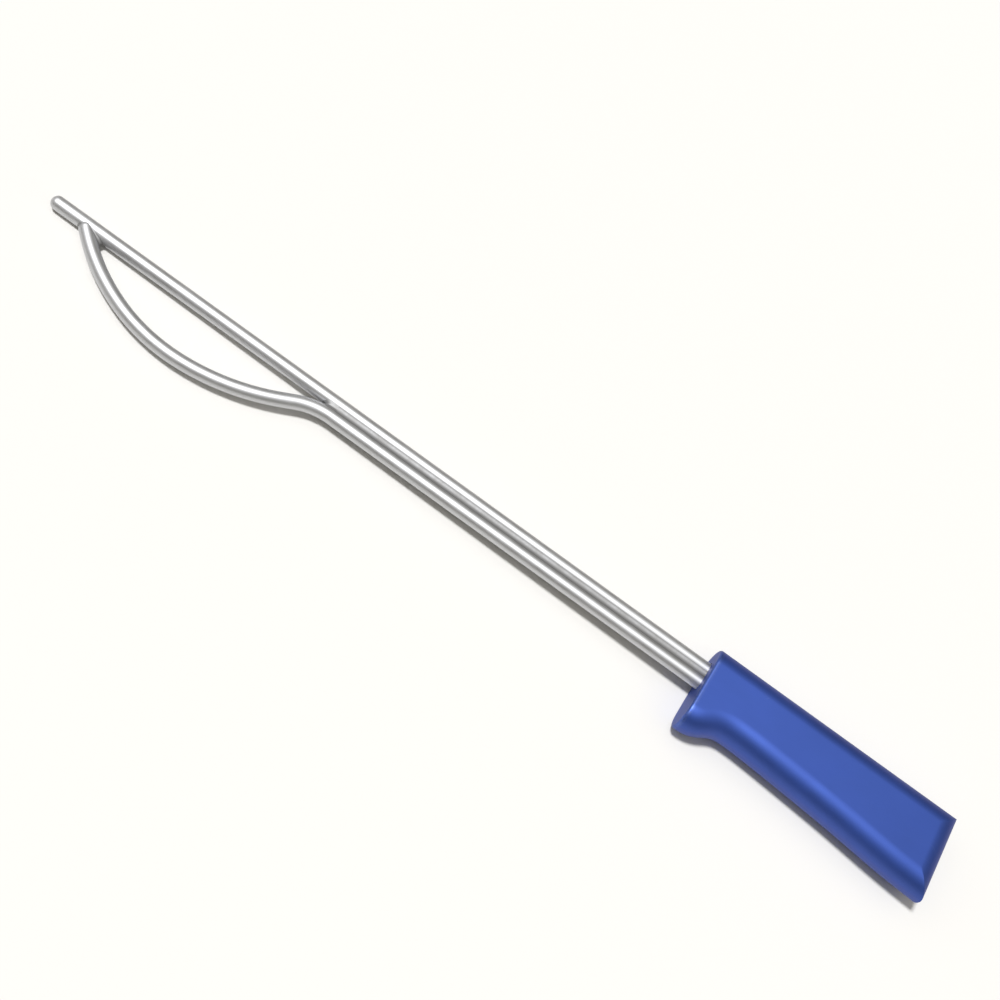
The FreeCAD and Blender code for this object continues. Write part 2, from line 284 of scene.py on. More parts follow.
def bond_material(name):
    """Dark filled compound, slightly grainy, with a few pinholes."""
    m, nt, bsdf = new_material(name)
    tc = nt.nodes.new("ShaderNodeTexCoord").outputs["Object"]
    grain = noise(nt, tc, 5200, 4.0, 0.6)
    blot = noise(nt, tc, 700, 3.0, 0.5, 0.4)
    v = nt.nodes.new("ShaderNodeTexVoronoi")
    v.inputs["Scale"].default_value = 1500
    nt.links.new(tc, v.inputs["Vector"])
    pits = ramp(nt, v.outputs["Distance"], [(0.0, 0.0), (0.16, 1.0)])
    tone = mix_color(nt, blot, (0.030, 0.030, 0.032, 1), (0.070, 0.070, 0.072, 1))
    nt.links.new(tone, bsdf.inputs["Base Color"])
    nt.links.new(remap(nt, grain, 0.3, 0.7, 0.5, 0.75), bsdf.inputs["Roughness"])
    n1 = bump(nt, grain, 0.3, 0.00004)
    nt.links.new(bump(nt, pits, 0.35, 0.00006, n1), bsdf.inputs["Normal"])
    return m


def screw_material(name):
    """Plain stainless set screw: turned marks on the end, duller than the bar."""
    m, nt, bsdf = new_material(name)
    tc = nt.nodes.new("ShaderNodeTexCoord").outputs["Object"]
    grain = noise(nt, tc, 8000, 4.0, 0.6)
    turn = noise(nt, mapping(nt, tc, (1.0, 0.2, 1.0)), 3800, 3.0, 0.6)
    grime = noise(nt, tc, 600, 3.0, 0.5)
    tone = mix_color(nt, grime, (0.40, 0.40, 0.41, 1), (0.55, 0.55, 0.56, 1))
    nt.links.new(tone, bsdf.inputs["Base Color"])
    nt.links.new(remap(nt, turn, 0.3, 0.7, 0.30, 0.46), bsdf.inputs["Roughness"])
    n1 = bump(nt, turn, 0.25, 0.00002)
    nt.links.new(bump(nt, grain, 0.15, 0.00001, n1), bsdf.inputs["Normal"])
    bsdf.inputs["Metallic"].default_value = 1.0
    return m


def floor_material(name):
    m, nt, bsdf = new_material(name)
    tc = nt.nodes.new("ShaderNodeTexCoord").outputs["Object"]
    tooth = noise(nt, tc, 1800, 3.0, 0.5)
    soft = noise(nt, tc, 2.2, 2.0, 0.5)
    tone = mix_color(nt, soft, (0.780, 0.771, 0.752, 1), (0.790, 0.781, 0.764, 1))
    nt.links.new(tone, bsdf.inputs["Base Color"])
    nt.links.new(bump(nt, tooth, 0.05, 0.00004), bsdf.inputs["Normal"])
    bsdf.inputs["Roughness"].default_value = 0.9
    bsdf.inputs["Specular IOR Level"].default_value = 0.1
    return m


M_STEEL = steel_material("satin_stainless", (0.600, 0.606, 0.622), 0.50)
# the dark braze base is partly the filler's own duller metal and partly painted shade of the groove between the
# rods, the loop's crotch and the crease at the tip weld
M_BRAZE_AND_GROOVE_SHADE = braze_with_groove_shade_material("cleaned_braze_with_painted_groove_shade", (0.345, 0.347, 0.354), 0.60)
M_HANDLE = anodised_material("blue_anodised")
M_BOND = bond_material("socket_compound")
M_SCREW = screw_material("set_screw_steel")
M_FLOOR = floor_material("pale_floor")


# ---------------------------------------------------------------------------
# mesh helpers
# ---------------------------------------------------------------------------

def make_piece(name, verts, faces, mat, replaces=(), attrs=None, sharp=38.0, body="root"):
    me = bpy.data.meshes.new(name)
    me.from_pydata([tuple(p) for p in to_frame(verts)], [], [tuple(int(i) for i in f) for f in faces])
    me.validate(clean_customdata=False)
    me.update()
    for key, (kind, values) in (attrs or {}).items():
        a = me.attributes.new(key, kind, "POINT")
        if kind == "FLOAT":
            a.data.foreach_set("value", np.asarray(values, np.float32).ravel())
        else:
            a.data.foreach_set("vector", np.asarray(values, np.float32).ravel())
    me.shade_smooth()
    me.set_sharp_from_angle(angle=radians(sharp))
    me.materials.append(mat)
    o = bpy.data.objects.new(name, me)
    bpy.context.scene.collection.objects.link(o)
    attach(o, body)
    if replaces:
        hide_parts(*replaces)
    return o


def orient(verts, faces):
    """Turns all faces outward if the closed mesh came out inside out."""
    v = np.asarray(verts, float)
    vol = 0.0
    for f in faces:
        for k in range(1, len(f) - 1):
            vol += np.dot(v[f[0]], np.cross(v[f[k]], v[f[k + 1]]))
    return faces if vol > 0 else [tuple(reversed(f)) for f in faces]


def tube_faces(rings, n, wrap=False):
    f = []
    for i in range(rings if wrap else rings - 1):
        a, b = i * n, ((i + 1) % rings) * n
        for j in range(n):
            k = (j + 1) % n
            f.append((a + j, a + k, b + k, b + j))
    return f


# ---------------------------------------------------------------------------
# straight rod
# ---------------------------------------------------------------------------
N = 72


def straight_rod():
    prof = []                                      # (x, radius)
    for k in range(1, 19):
        a = radians(90 * k / 18)
        prof.append((ROD_R * (1 - cos(a)), ROD_R * sin(a)))
    for x in np.arange(4.0, ROD_END - 0.4, 2.0):
        prof.append((x, ROD_R))
    prof += [(ROD_END - 0.4, ROD_R), (ROD_END, ROD_R - 0.4)]
    verts, grain = [(0, 0, 0)], [(0, 0, 0)]
    for x, r in prof:
        for j in range(N):
            a = 2 * pi * j / N
            verts.append((x, r * cos(a), r * sin(a)))
            grain.append((x / 1000, r * cos(a) / 1000, r * sin(a) / 1000))
    faces = [(0, 1 + (j + 1) % N, 1 + j) for j in range(N)]
    faces += [tuple(i + 1 for i in f) for f in tube_faces(len(prof), N)]
    last = 1 + (len(prof) - 1) * N
    faces.append(tuple(last + j for j in range(N)))
    return verts, orient(verts, fix(verts, faces)), grain


def fix(verts, faces):
    """Makes the winding of a revolved skin with end caps consistent."""
    import bmesh
    me = bpy.data.meshes.new("tmp")
    me.from_pydata([tuple(map(float, p)) for p in verts], [], [tuple(int(i) for i in f) for f in faces])
    bm = bmesh.new()
    bm.from_mesh(me)
    bmesh.ops.recalc_face_normals(bm, faces=bm.faces)
    out = [tuple(v.index for v in f.verts) for f in bm.faces]
    bm.free()
    bpy.data.meshes.remove(me)
    return out


v, f, g = straight_rod()
make_piece("rod_straight", v, f, M_STEEL, ("straight_rod",),
           {"grain": ("FLOAT_VECTOR", g)})

# ---------------------------------------------------------------------------
# bowed rod
# ---------------------------------------------------------------------------
BOW_START_X = 114.6
BOW_S = (25.0, 29.6)
BOW_STRAIGHT = 4.2
BOW_ARCS = [(77.8, 25.7), (62.7, 23.3), (73.8, 20.5)]
BOW_LAST_R = 81.8
BOW_END_Y = -1.5


def bow_path(step=0.6):
    """Samples of the bow's centre line from the handle to its domed end: x, y, heading."""
    pts = [(x, -PITCH, pi) for x in np.arange(ROD_END - 0.4, BOW_START_X + 0.5, -2.0)]
    x, y, h = BOW_START_X, -PITCH, pi
    pts.append((x, y, h))

    def arc(x, y, h, r, a, left):
        sg = 1 if left else -1
        cx, cy = x - sg * r * sin(h), y + sg * r * cos(h)
        n = max(4, int(r * a / step))
        for k in range(1, n + 1):
            hh = h + sg * a * k / n
            pts.append((cx + sg * r * sin(hh), cy - sg * r * cos(hh), hh))
        return pts[-1]

    x, y, h = arc(x, y, h, BOW_S[0], radians(BOW_S[1]), True)
    for k in range(1, 7):
        pts.append((x + cos(h) * BOW_STRAIGHT * k / 6, y + sin(h) * BOW_STRAIGHT * k / 6, h))
    x, y, h = pts[-1]
    for r, a in BOW_ARCS:
        x, y, h = arc(x, y, h, r, radians(a), False)
    # last arc, as far as the dome's centre
    cx, cy = x + BOW_LAST_R * sin(h), y - BOW_LAST_R * cos(h)
    lo, hi = 0.0, 0.6
    for _ in range(60):
        mid = (lo + hi) / 2
        if cy + BOW_LAST_R * cos(h - mid) < BOW_END_Y:
            lo = mid
        else:
            hi = mid
    n = int(BOW_LAST_R * lo / 0.5)
    for k in range(1, n + 1):
        hh = h - lo * k / n
        pts.append((cx - BOW_LAST_R * sin(hh), cy + BOW_LAST_R * cos(hh), hh))
    return np.array(pts)


PATH = bow_path()
END = PATH[-1]


# The domed end dips into the straight rod.  Its hidden part stays inside the rod.
def bowed_rod_plain():
    verts, grain, rings = [], [], [(ROD_END, -PITCH, pi, ROD_R - 0.4)]
    rings += [(x, y, h, ROD_R) for x, y, h in PATH]
    for k in range(1, 18):
        a = radians(90 * k / 18)
        rings.append((END[0] + cos(END[2]) * ROD_R * sin(a), END[1] + sin(END[2]) * ROD_R * sin(a),
                      END[2], ROD_R * cos(a)))
    s, last = 0.0, None
    for x, y, h, r in rings:
        if last is not None:
            s += sqrt((x - last[0]) ** 2 + (y - last[1]) ** 2)
        last = (x, y)
        for j in range(N):
            a = 2 * pi * j / N
            verts.append((x - sin(h) * r * cos(a), y + cos(h) * r * cos(a), r * sin(a)))
            grain.append(((s + 500.0) / 1000, r * cos(a) / 1000, r * sin(a) / 1000))
    apex = len(verts)
    verts.append((END[0] + cos(END[2]) * ROD_R, END[1] + sin(END[2]) * ROD_R, 0.0))
    grain.append(((s + 500.0) / 1000, 0, 0))
    faces = tube_faces(len(rings), N)
    base = (len(rings) - 1) * N
    faces += [(base + j, base + (j + 1) % N, apex) for j in range(N)]
    faces.append(tuple(range(N)))
    return verts, orient(verts, fix(verts, faces)), grain


v, f, g = bowed_rod_plain()
make_piece("rod_bowed", v, f, M_STEEL, ("bowed_rod",),
           {"grain": ("FLOAT_VECTOR", g)})


# ---------------------------------------------------------------------------
# weld where the bow's end sits on the straight rod: a rolling-ball fillet
# ---------------------------------------------------------------------------
TAIL = PATH[-60:, :2]


def nearest_on_bow(c):
    a, b = TAIL[:-1], TAIL[1:]
    d = b - a
    t = np.clip(((c[:2] - a) * d).sum(1) / (d * d).sum(1), 0, 1)
    q = a + d * t[:, None]
    dist = np.hypot(q[:, 0] - c[0], q[:, 1] - c[1])
    i = int(np.argmin(dist))
    q3 = np.array([q[i, 0], q[i, 1], 0.0])
    return q3, float(np.linalg.norm(c - q3))


def weld_ring():
    n_g, n_a = 180, 9
    verts = []
    x0 = 16.6
    for i in range(n_g):
        gam = 2 * pi * i / n_g
        rho = 0.62 + 0.34 * max(0.0, cos(gam)) ** 2 + 0.30 * max(0.0, -cos(gam)) ** 3 \
            + 0.035 * sin(5 * gam + 0.7) + 0.025 * sin(11 * gam + 2.1)
        R = ROD_R + rho

        def centre(t):
            x = x0 + cos(gam) * t
            b = sin(gam) * t / R
            return np.array([x, -R * cos(b), R * sin(b)])
        lo, hi = 0.0, 0.5
        while nearest_on_bow(centre(hi))[1] < ROD_R + rho and hi < 14:
            hi += 0.25
        lo = max(0.0, hi - 0.25)
        for _ in range(40):
            mid = (lo + hi) / 2
            if nearest_on_bow(centre(mid))[1] < ROD_R + rho:
                lo = mid
            else:
                hi = mid
        c = centre(lo)
        q, dq = nearest_on_bow(c)
        ax = np.array([c[0], 0, 0])
        u1 = (ax - c) / np.linalg.norm(ax - c)          # towards the straight rod
        u2 = (q - c) / np.linalg.norm(q - c)            # towards the bow
        ang = np.arccos(np.clip(np.dot(u1, u2), -1, 1))
        ring = []
        for k in range(n_a):
            w = k / (n_a - 1)
            if ang > 1e-3:
                u = (sin((1 - w) * ang) * u1 + sin(w * ang) * u2) / sin(ang)
            else:
                u = u1
            ring.append(c + rho * u * 0.995)
        ring.append(c + u2 * (rho + 0.12))
        mid = c + (u1 + u2) / np.linalg.norm(u1 + u2) * (rho + 0.12 + 0.25 * (1 / max(cos(ang / 2), 0.35) - 1) * rho)
        ring.append(mid)
        ring.append(c + u1 * (rho + 0.12))
        verts += ring
    n_r = n_a + 3
    faces = tube_faces(n_g, n_r, wrap=True)
    return verts, orient(verts, fix(verts, faces))


v, f = weld_ring()
make_piece("weld_at_tip", v, f, M_BRAZE_AND_GROOVE_SHADE, ("tip_weld",), sharp=50)


# ---------------------------------------------------------------------------
# braze in the groove between the rods, and the puddle in the loop's crotch
# ---------------------------------------------------------------------------
FILL_R = 2.3
BRAZE_X0 = 108.6          # where the filler gives out in the crotch


def bow_y(x):
    """Centre line of the bow beside the pair, for x from the crotch to the handle."""
    if x >= BOW_START_X:
        return -PITCH
    d = BOW_START_X - x
    return -PITCH - (BOW_S[0] - sqrt(BOW_S[0] ** 2 - d * d))


def braze_section(x, drop, n=15):
    """Upper surface between the rods at x, from the straight rod to the bow."""
    yb = bow_y(x)
    half = -yb / 2.0
    rho = FILL_R
    hc = sqrt((ROD_R + rho) ** 2 - half ** 2)
    a = np.arcsin(half / (ROD_R + rho))
    pts = []
    for k in range(n):
        ang = a * (1 - 2.0 * k / (n - 1))               # +a at the straight rod
        y = -half + rho * sin(ang)
        z = hc - rho * cos(ang)
        pts.append([x, y, z * drop])
    return np.array(pts)


def braze(sign, x_from, x_to, step):
    """Closed body under the hollow surface from x_from to x_to, flat 0.2 mm from the rods' plane."""
    xs = list(np.arange(x_from, x_to, step)) + [x_to]
    rows = [braze_section(x, 1.0) for x in xs]
    n = len(rows[0])
    verts = []
    for r in rows:
        top = r.copy()
        # tuck the outermost points just inside the rods
        low = r.copy()
        low[:, 2] = 0.2
        yb = bow_y(r[0, 0])
        low[:, 1] = np.linspace(-sqrt(ROD_R ** 2 - 0.04) + 0.15, yb + sqrt(ROD_R ** 2 - 0.04) - 0.15, n)
        loop = np.vstack([top, low[::-1]])
        loop[:, 2] *= sign
        verts += list(loop)
    m = 2 * n
    faces = tube_faces(len(rows), m)
    a = 0
    b = (len(rows) - 1) * m
    for base in (a, b):
        for k in range(n - 1):
            faces.append((base + k, base + k + 1, base + m - 2 - k, base + m - 1 - k))
    return verts, orient(verts, fix(verts, faces))


for sign, name, cad in ((1, "braze_seam_upper", "seam_braze_upper"), (-1, "braze_seam_lower", "seam_braze_lower")):
    v, f = braze(sign, BOW_START_X, ROD_END - 6.0, 2.0)
    make_piece(name, v, f, M_BRAZE_AND_GROOVE_SHADE, (cad,), sharp=60)


def crotch():
    """Filler between the diverging rods: hollow above and below, with a round hollow front."""
    nx, nv = 26, 15
    verts = []
    # front line in plan: it creeps further along both rods than in the middle
    def top_row(i):
        w = i / (nx - 1)                                  # 0 front, 1 at the seams
        pts = []
        for k in range(nv):
            vv = 1 - 2.0 * k / (nv - 1)
            front = BRAZE_X0 + 1.5 * (1 - vv * vv) ** 0.8
            x = front + (BOW_START_X - front) * (w ** 1.35)
            sec = braze_section(x, 1.0, nv)[k]
            # meniscus: the surface turns down in a quarter round at the front
            run = (x - front) / 2.6
            fall = sqrt(max(0.0, 1 - (1 - min(1.0, run)) ** 2))
            z = sec[2] * (0.12 + 0.88 * fall) if run < 1 else sec[2]
            # keep on or just inside the rods as it falls
            y = sec[1]
            yb = bow_y(x)
            edge1 = -sqrt(max(0.0, ROD_R ** 2 - z * z)) + 0.04
            edge2 = yb + sqrt(max(0.0, ROD_R ** 2 - z * z)) - 0.04
            t = (y - sec_lo(x, nv)) / (sec_hi(x, nv) - sec_lo(x, nv))
            y = edge2 + (edge1 - edge2) * t
            pts.append((x, y, z))
        return pts
    up = [top_row(i) for i in range(nx)]
    rows = []
    for r in up:
        top = np.array(r)
        low = top.copy()
        low[:, 2] *= -1
        rows.append(np.vstack([top, low[::-1]]))
    for r in rows:
        verts += list(r)
    m = 2 * nv
    faces = tube_faces(nx, m)
    for base in (0, (nx - 1) * m):
        for k in range(nv - 1):
            faces.append((base + k, base + k + 1, base + m - 2 - k, base + m - 1 - k))
    return verts, orient(verts, fix(verts, faces))


def sec_lo(x, n):
    return braze_section(x, 1.0, n)[-1, 1]


def sec_hi(x, n):
    return braze_section(x, 1.0, n)[0, 1]


v, f = crotch()
make_piece("braze_crotch", v, f, M_BRAZE_AND_GROOVE_SHADE, ("loop_crotch_braze",), sharp=60)


# ---------------------------------------------------------------------------
# handle
# ---------------------------------------------------------------------------

def spline(points):
    """C2 cubic through the points by chord length; returns a function u -> (x, y) and du."""
    P = np.array(points, float)
    t = np.concatenate([[0], np.cumsum(np.hypot(*np.diff(P, axis=0).T))])
    n = len(t)
    out = []
    for col in range(2):
        y = P[:, col]
        h = np.diff(t)
        A = np.zeros((n, n))
        b = np.zeros(n)
        A[0, 0] = A[-1, -1] = 1.0
        for i in range(1, n - 1):
            A[i, i - 1], A[i, i], A[i, i + 1] = h[i - 1], 2 * (h[i - 1] + h[i]), h[i]
            b[i] = 6 * ((y[i + 1] - y[i]) / h[i] - (y[i] - y[i - 1]) / h[i - 1])
        out.append((y, np.linalg.solve(A, b)))

    def at(u, d=0):
        u = np.clip(u, t[0], t[-1])
        i = int(np.clip(np.searchsorted(t, u) - 1, 0, n - 2))
        h = t[i + 1] - t[i]
        a, b = (t[i + 1] - u) / h, (u - t[i]) / h
        r = []
        for y, m in out:
            if d == 0:
                r.append(a * y[i] + b * y[i + 1] + ((a ** 3 - a) * m[i] + (b ** 3 - b) * m[i + 1]) * h * h / 6)
            else:
                r.append((y[i + 1] - y[i]) / h - (3 * a * a - 1) / 6 * h * m[i] + (3 * b * b - 1) / 6 * h * m[i + 1])
        return np.array(r)
    return at, t[-1]


FCURVE, FLEN = spline(FINGER)


def finger_at(x):
    if x >= FINGER[-1][0]:
        p, d = FCURVE(FLEN), FCURVE(FLEN, 1)
        d = d / np.linalg.norm(d)
        return p[1] + (x - p[0]) * d[1] / d[0], np.array([-d[1], d[0]])
    lo, hi = 0.0, FLEN
    for _ in range(50):
        mid = (lo + hi) / 2
        if FCURVE(mid)[0] < x:
            lo = mid
        else:
            hi = mid
    p, d = FCURVE(lo), FCURVE(lo, 1)
    d = d / np.linalg.norm(d)
    return p[1], np.array([-d[1], d[0]])                  # outline y, inward normal


def butt_shift(y):
    """How far the slanted butt stands behind (+) its middle at y."""
    return ((TOP_Y + FINGER[-1][1]) / 2.0 - y) * tan(radians(BUTT_SLANT))


# Rows of half a section, from the middle of the top line over the upper flat to the
# middle of the finger side.  Both rolls share their heights with the rolled butt, so
# that the mitres run through the corners of the mesh.
HOLE_HALF = 2.8
LEVELS = list(np.linspace(0.0, HOLE_HALF, 7))
_a0 = np.degrees(np.arcsin((HOLE_HALF - LAND) / R_ROLL))
LEVELS += [LAND + R_ROLL * sin(radians(q)) for q in np.linspace(_a0, 90.0, 22)[1:]]
LEVELS = np.array(LEVELS)
NL = len(LEVELS)
FLAT_ROWS = np.linspace(0.0, 1.0, 15)[1:-1]


def roll_depth(z):
    """Distance of the roll's surface from the outline at height z, and the slope's angle there."""
    if z <= LAND:
        return 0.0, 0.0
    q = min(1.0, (z - LAND) / R_ROLL)
    a = np.arcsin(q)
    return R_ROLL * (1 - cos(a)), a


def half_section(x_nom, warp):
    """Rows (dx, y, z, ny, nz) of the upper half at a station."""
    fy, nrm = finger_at(x_nom)
    k = min(1.0, max(0.0, (x_nom - FRONT_X - R_FRONT) / 3.5))
    k = k * k * (3 - 2 * k) * (1 - warp)
    nx = nrm[0] * k
    ny = sqrt(1 - nx * nx)
    rows = []
    for z in LEVELS:
        d, a = roll_depth(z)
        rows.append((0.0, TOP_Y - d, z, cos(a), sin(a)))
    y1, y2, x2 = TOP_Y - R_ROLL, fy + ny * R_ROLL, nx * R_ROLL
    for q in FLAT_ROWS:
        rows.append((x2 * q * q * (3 - 2 * q), y1 + (y2 - y1) * q, HALF_T, 0.0, 1.0))
    for z in LEVELS[::-1]:
        d, a = roll_depth(z)
        rows.append((nx * d, fy + ny * d, z, -cos(a), sin(a)))
    return np.array(rows)


NR = 2 * NL + len(FLAT_ROWS)                              # rows of the upper half
M = 2 * (NR - 1)                                          # points of a whole loop


def full_loop(rows, x_nom, warp, inset, zcap):
    y = rows[:, 1] - inset * rows[:, 3]
    z = np.minimum(rows[:, 2] - inset * rows[:, 4], zcap)
    z = np.where(rows[:, 2] < 1e-9, 0.0, np.maximum(z, 0.0))
    x = x_nom + rows[:, 0] + warp * np.array([butt_shift(v) for v in y])
    up = np.stack([x, y, z], 1)
    low = up[1:-1][::-1] * np.array([1, 1, -1])
    return np.vstack([up, low])


def upper(r):
    return r


def lower(r):
    return r if r in (0, NR - 1) else M - r


def build_handle():
    marks = [(sx - HOLE_HALF, sx + HOLE_HALF) for sx in SCREW_X]
    xs, cur = [], FRONT_X + R_FRONT
    for a, b in marks:
        n = max(1, int(round((a - cur) / 0.8)))
        xs += list(np.linspace(cur, a, n + 1)[:-1])
        xs += list(np.linspace(a, b, 13)[:-1])
        cur = b
    end = BUTT_X - R_ROLL
    xs += list(np.linspace(cur, end, int(round((end - cur) / 0.8)) + 1))
    loops, edge = [], []
    steps = 9
    for i in range(steps):                                # rounded edge of the front face
        a = radians(90 * (steps - i) / steps)
        xx = FRONT_X + R_FRONT * (1 - sin(a))
        loops.append(full_loop(half_section(xx, 0.0), xx, 0.0, R_FRONT * (1 - cos(a)), 99.0))
        edge.append(1.0)
    for xx in xs:
        w = min(1.0, max(0.0, (xx - 325.0) / (end - 325.0)))
        w = w * w * (3 - 2 * w)
        loops.append(full_loop(half_section(xx, w), xx, w, 0.0, 99.0))
        edge.append(max(0.0, 1 - (xx - FRONT_X - R_FRONT) / 0.8))
    first_butt = len(loops) - 1
    butt_levels = [z for z in LEVELS[::-1][1:] if z > LAND + 0.02] + [LAND]
    for z in butt_levels:                                 # rolled butt
        xx = end + sqrt(max(0.0, R_ROLL ** 2 - (z - LAND) ** 2))
        loops.append(full_loop(half_section(xx, 1.0), xx, 1.0, 0.0, z))
        edge.append(0.0)
    verts = [tuple(p) for L in loops for p in L]
    ev = [e for e in edge for _ in range(M)]
    # the mitres and the far outline of the butt wear like an edge
    for j, z in enumerate(butt_levels):
        base = (first_butt + 1 + j) * M
        for r in range(NR):
            rr = min(r, NR - 1 - r)
            if rr < NL:
                d = abs(LEVELS[rr] - z)
                w = max(0.0, 1 - d / 0.9) * min(1.0, (HALF_T - z) / 2.2)
                for q in (upper(r), lower(r)):
                    ev[base + q] = max(ev[base + q], 0.8 * w)
    faces = []
    windows = []
    for a, b in marks:
        i0 = steps + int(np.argmin([abs(q - a) for q in xs]))
        windows.append((i0, i0 + 12))

    def in_window(i, k):
        kk = k if k < M // 2 else k - M
        return any(i0 <= i < i1 for i0, i1 in windows) and -6 <= kk < 6
    for i in range(len(loops) - 1):
        for k in range(M):
            if in_window(i, k):
                continue
            k2 = (k + 1) % M
            q = (i * M + k, i * M + k2, (i + 1) * M + k2, (i + 1) * M + k)
            if i >= first_butt:
                # quads on a mitre are split along it
                co = [np.array(verts[t]) for t in q]
                z0 = [abs(c[2]) for c in co]
                fold = abs(np.dot(np.cross(co[1] - co[0], co[3] - co[0]), co[2] - co[0]))
                if fold > 1e-7:
                    if abs(z0[0] - z0[2]) > abs(z0[1] - z0[3]):
                        faces += [(q[0], q[1], q[2]), (q[0], q[2], q[3])]
                    else:
                        faces += [(q[0], q[1], q[3]), (q[1], q[2], q[3])]
                    continue
            faces.append(q)

    def add(p, e=0.0):
        verts.append(tuple(p))
        ev.append(e)
        return len(verts) - 1

    def crest(z):
        return TOP_Y - roll_depth(abs(z))[0]

    # blind screw holes with a small countersunk rim
    for (i0, i1), sx in zip(windows, SCREW_X):
        rim = [(i0, k) for k in range(-6, 6)] + [(i, 6) for i in range(i0, i1)] + \
              [(i1, k) for k in range(6, -6, -1)] + [(i, -6) for i in range(i1, i0, -1)]
        idx = [i * M + k % M for i, k in rim]
        n = len(idx)
        angs = [atan2(verts[q][2], verts[q][0] - sx) for q in idx]
        prev = idx
        r_rim = SCREW_HOLE_R + 0.28
        for w in (0.4, 0.75):
            cur = []
            for q in range(n):
                px, _, pz = verts[idx[q]]
                cx, cz = sx + r_rim * cos(angs[q]), r_rim * sin(angs[q])
                x, z = px * (1 - w) + cx * w, pz * (1 - w) + cz * w
                cur.append(add((x, crest(z), z), 0.0 if w < 0.5 else 0.3))
            faces += [(prev[q], prev[(q + 1) % n], cur[(q + 1) % n], cur[q]) for q in range(n)]
            prev = cur
        for r, drop, y, e in ((r_rim, 0.0, None, 0.9), (SCREW_HOLE_R + 0.15, 0.04, None, 1.0),
                              (SCREW_HOLE_R + 0.04, 0.14, None, 1.0), (SCREW_HOLE_R, 0.30, None, 0.6),
                              (SCREW_HOLE_R, 0, 6.0, 0.0), (SCREW_HOLE_R, 0, 2.95, 0.0)):
            cur = []
            for q in range(n):
                z = r * sin(angs[q])
                cur.append(add((sx + r * cos(angs[q]), crest(z) - drop if y is None else y, z), e))
            faces += [(prev[q], prev[(q + 1) % n], cur[(q + 1) % n], cur[q]) for q in range(n)]
            prev = cur
        faces.append(tuple(prev))

    # the butt's land: a narrow strip between the upper and the lower half
    base = (len(loops) - 1) * M
    for r in range(NR - 1):
        q = [base + upper(r), base + upper(r + 1), base + lower(r + 1), base + lower(r)]
        q = [t for n_, t in enumerate(q) if t not in q[:n_]]
        if len(q) > 2:
            faces.append(tuple(q))

    # front face: a ladder of rows, with a window for the socket's mouth
    cols = np.concatenate([[-1.0], np.linspace(-0.683, 0.683, 13), [1.0]])
    grid = []
    ys = [verts[r][1] for r in range(NR)]
    r0 = max(r for r in range(NR) if ys[r] > SOCKET_R + 0.9)
    r1 = min(r for r in range(NR) if ys[r] < -PITCH - SOCKET_R - 0.7)
    c0, c1 = 3, 11
    for r in range(NR):
        if r in (0, NR - 1):
            grid.append([r] * len(cols))
            continue
        pa, pb = np.array(verts[lower(r)]), np.array(verts[upper(r)])
        row = []
        for c, f in enumerate(cols):
            if f == -1.0:
                row.append(lower(r))
            elif f == 1.0:
                row.append(upper(r))
            elif r0 < r < r1 and c0 < c < c1:
                row.append(None)
            else:
                w = (f + 1) / 2
                row.append(add(pa * (1 - w) + pb * w, max(0.0, 1 - (1 - abs(f)) * pb[2] / 0.8) * 0.8))
        grid.append(row)
    for r in range(NR - 1):
        for c in range(len(cols) - 1):
            if r0 <= r < r1 and c0 <= c < c1:
                continue
            q = [grid[r][c], grid[r][c + 1], grid[r + 1][c + 1], grid[r + 1][c]]
            q = [t for n_, t in enumerate(q) if t not in q[:n_]]
            if len(q) > 2:
                faces.append(tuple(q))
    rim = [(r0, c) for c in range(c0, c1)] + [(r, c1) for r in range(r0, r1)] + \
          [(r1, c) for c in range(c1, c0, -1)] + [(r, c0) for r in range(r1, r0, -1)]
    idx = [grid[r][c] for r, c in rim]
    n = len(idx)
    prev = idx
    for x, rr, e in ((FRONT_X, SOCKET_R + 0.22, 0.8), (FRONT_X + 0.06, SOCKET_R + 0.08, 1.0),
                     (FRONT_X + 0.22, SOCKET_R, 0.6), (FRONT_X + 3.0, SOCKET_R, 0.0),
                     (FRONT_X + 26.0, SOCKET_R, 0.0), (FRONT_X + SOCKET_DEPTH, SOCKET_R, 0.0)):
        cur = []
        for q in range(n):
            _, py, pz = verts[idx[q]]
            cy = min(0.0, max(-PITCH, py))
            d = np.array([py - cy, pz])
            d /= np.linalg.norm(d)
            cur.append(add((x, cy + d[0] * rr, d[1] * rr), e))
        faces += [(prev[q], prev[(q + 1) % n], cur[(q + 1) % n], cur[q]) for q in range(n)]
        prev = cur
    faces.append(tuple(prev))
    return verts, orient(verts, fix(verts, faces)), ev


v, f, e = build_handle()
handle = make_piece("handle_bar", v, f, M_HANDLE, ("handle",),
                    {"edge": ("FLOAT", e)}, sharp=20)
wn = handle.modifiers.new("weighted", "WEIGHTED_NORMAL")
wn.mode = "FACE_AREA"
wn.weight = 50
wn.keep_sharp = True

# CAD nodes that are shown as they are
for n, mat in (("socket_bond", M_BOND), ("set_screws", M_SCREW)):
    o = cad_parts[n]
    o.data.materials.clear()
    o.data.materials.append(mat)


# ---------------------------------------------------------------------------
# stage: pale floor.  The instrument leans on the front of the handle and on its
# tip, so the floor is turned 1.1 degrees under it.
# ---------------------------------------------------------------------------
LEAN = (HALF_T - ROD_R) / (FRONT_X + R_FRONT - ROD_R)


def floor_z(x):
    return -ROD_R - (x - ROD_R) * LEAN - 0.02


me = bpy.data.meshes.new("floor")
half = 6000.0
corners = []
for sx, sy in ((-1, -1), (1, -1), (1, 1), (-1, 1)):
    x = 177.4 + sx * half
    corners.append(tuple(to_frame((x, sy * half, floor_z(x)))))
me.from_pydata(corners, [], [(0, 1, 2, 3)])
me.materials.append(M_FLOOR)
floor = bpy.data.objects.new("floor", me)
bpy.context.scene.collection.objects.link(floor)

# ---------------------------------------------------------------------------
# light
# ---------------------------------------------------------------------------


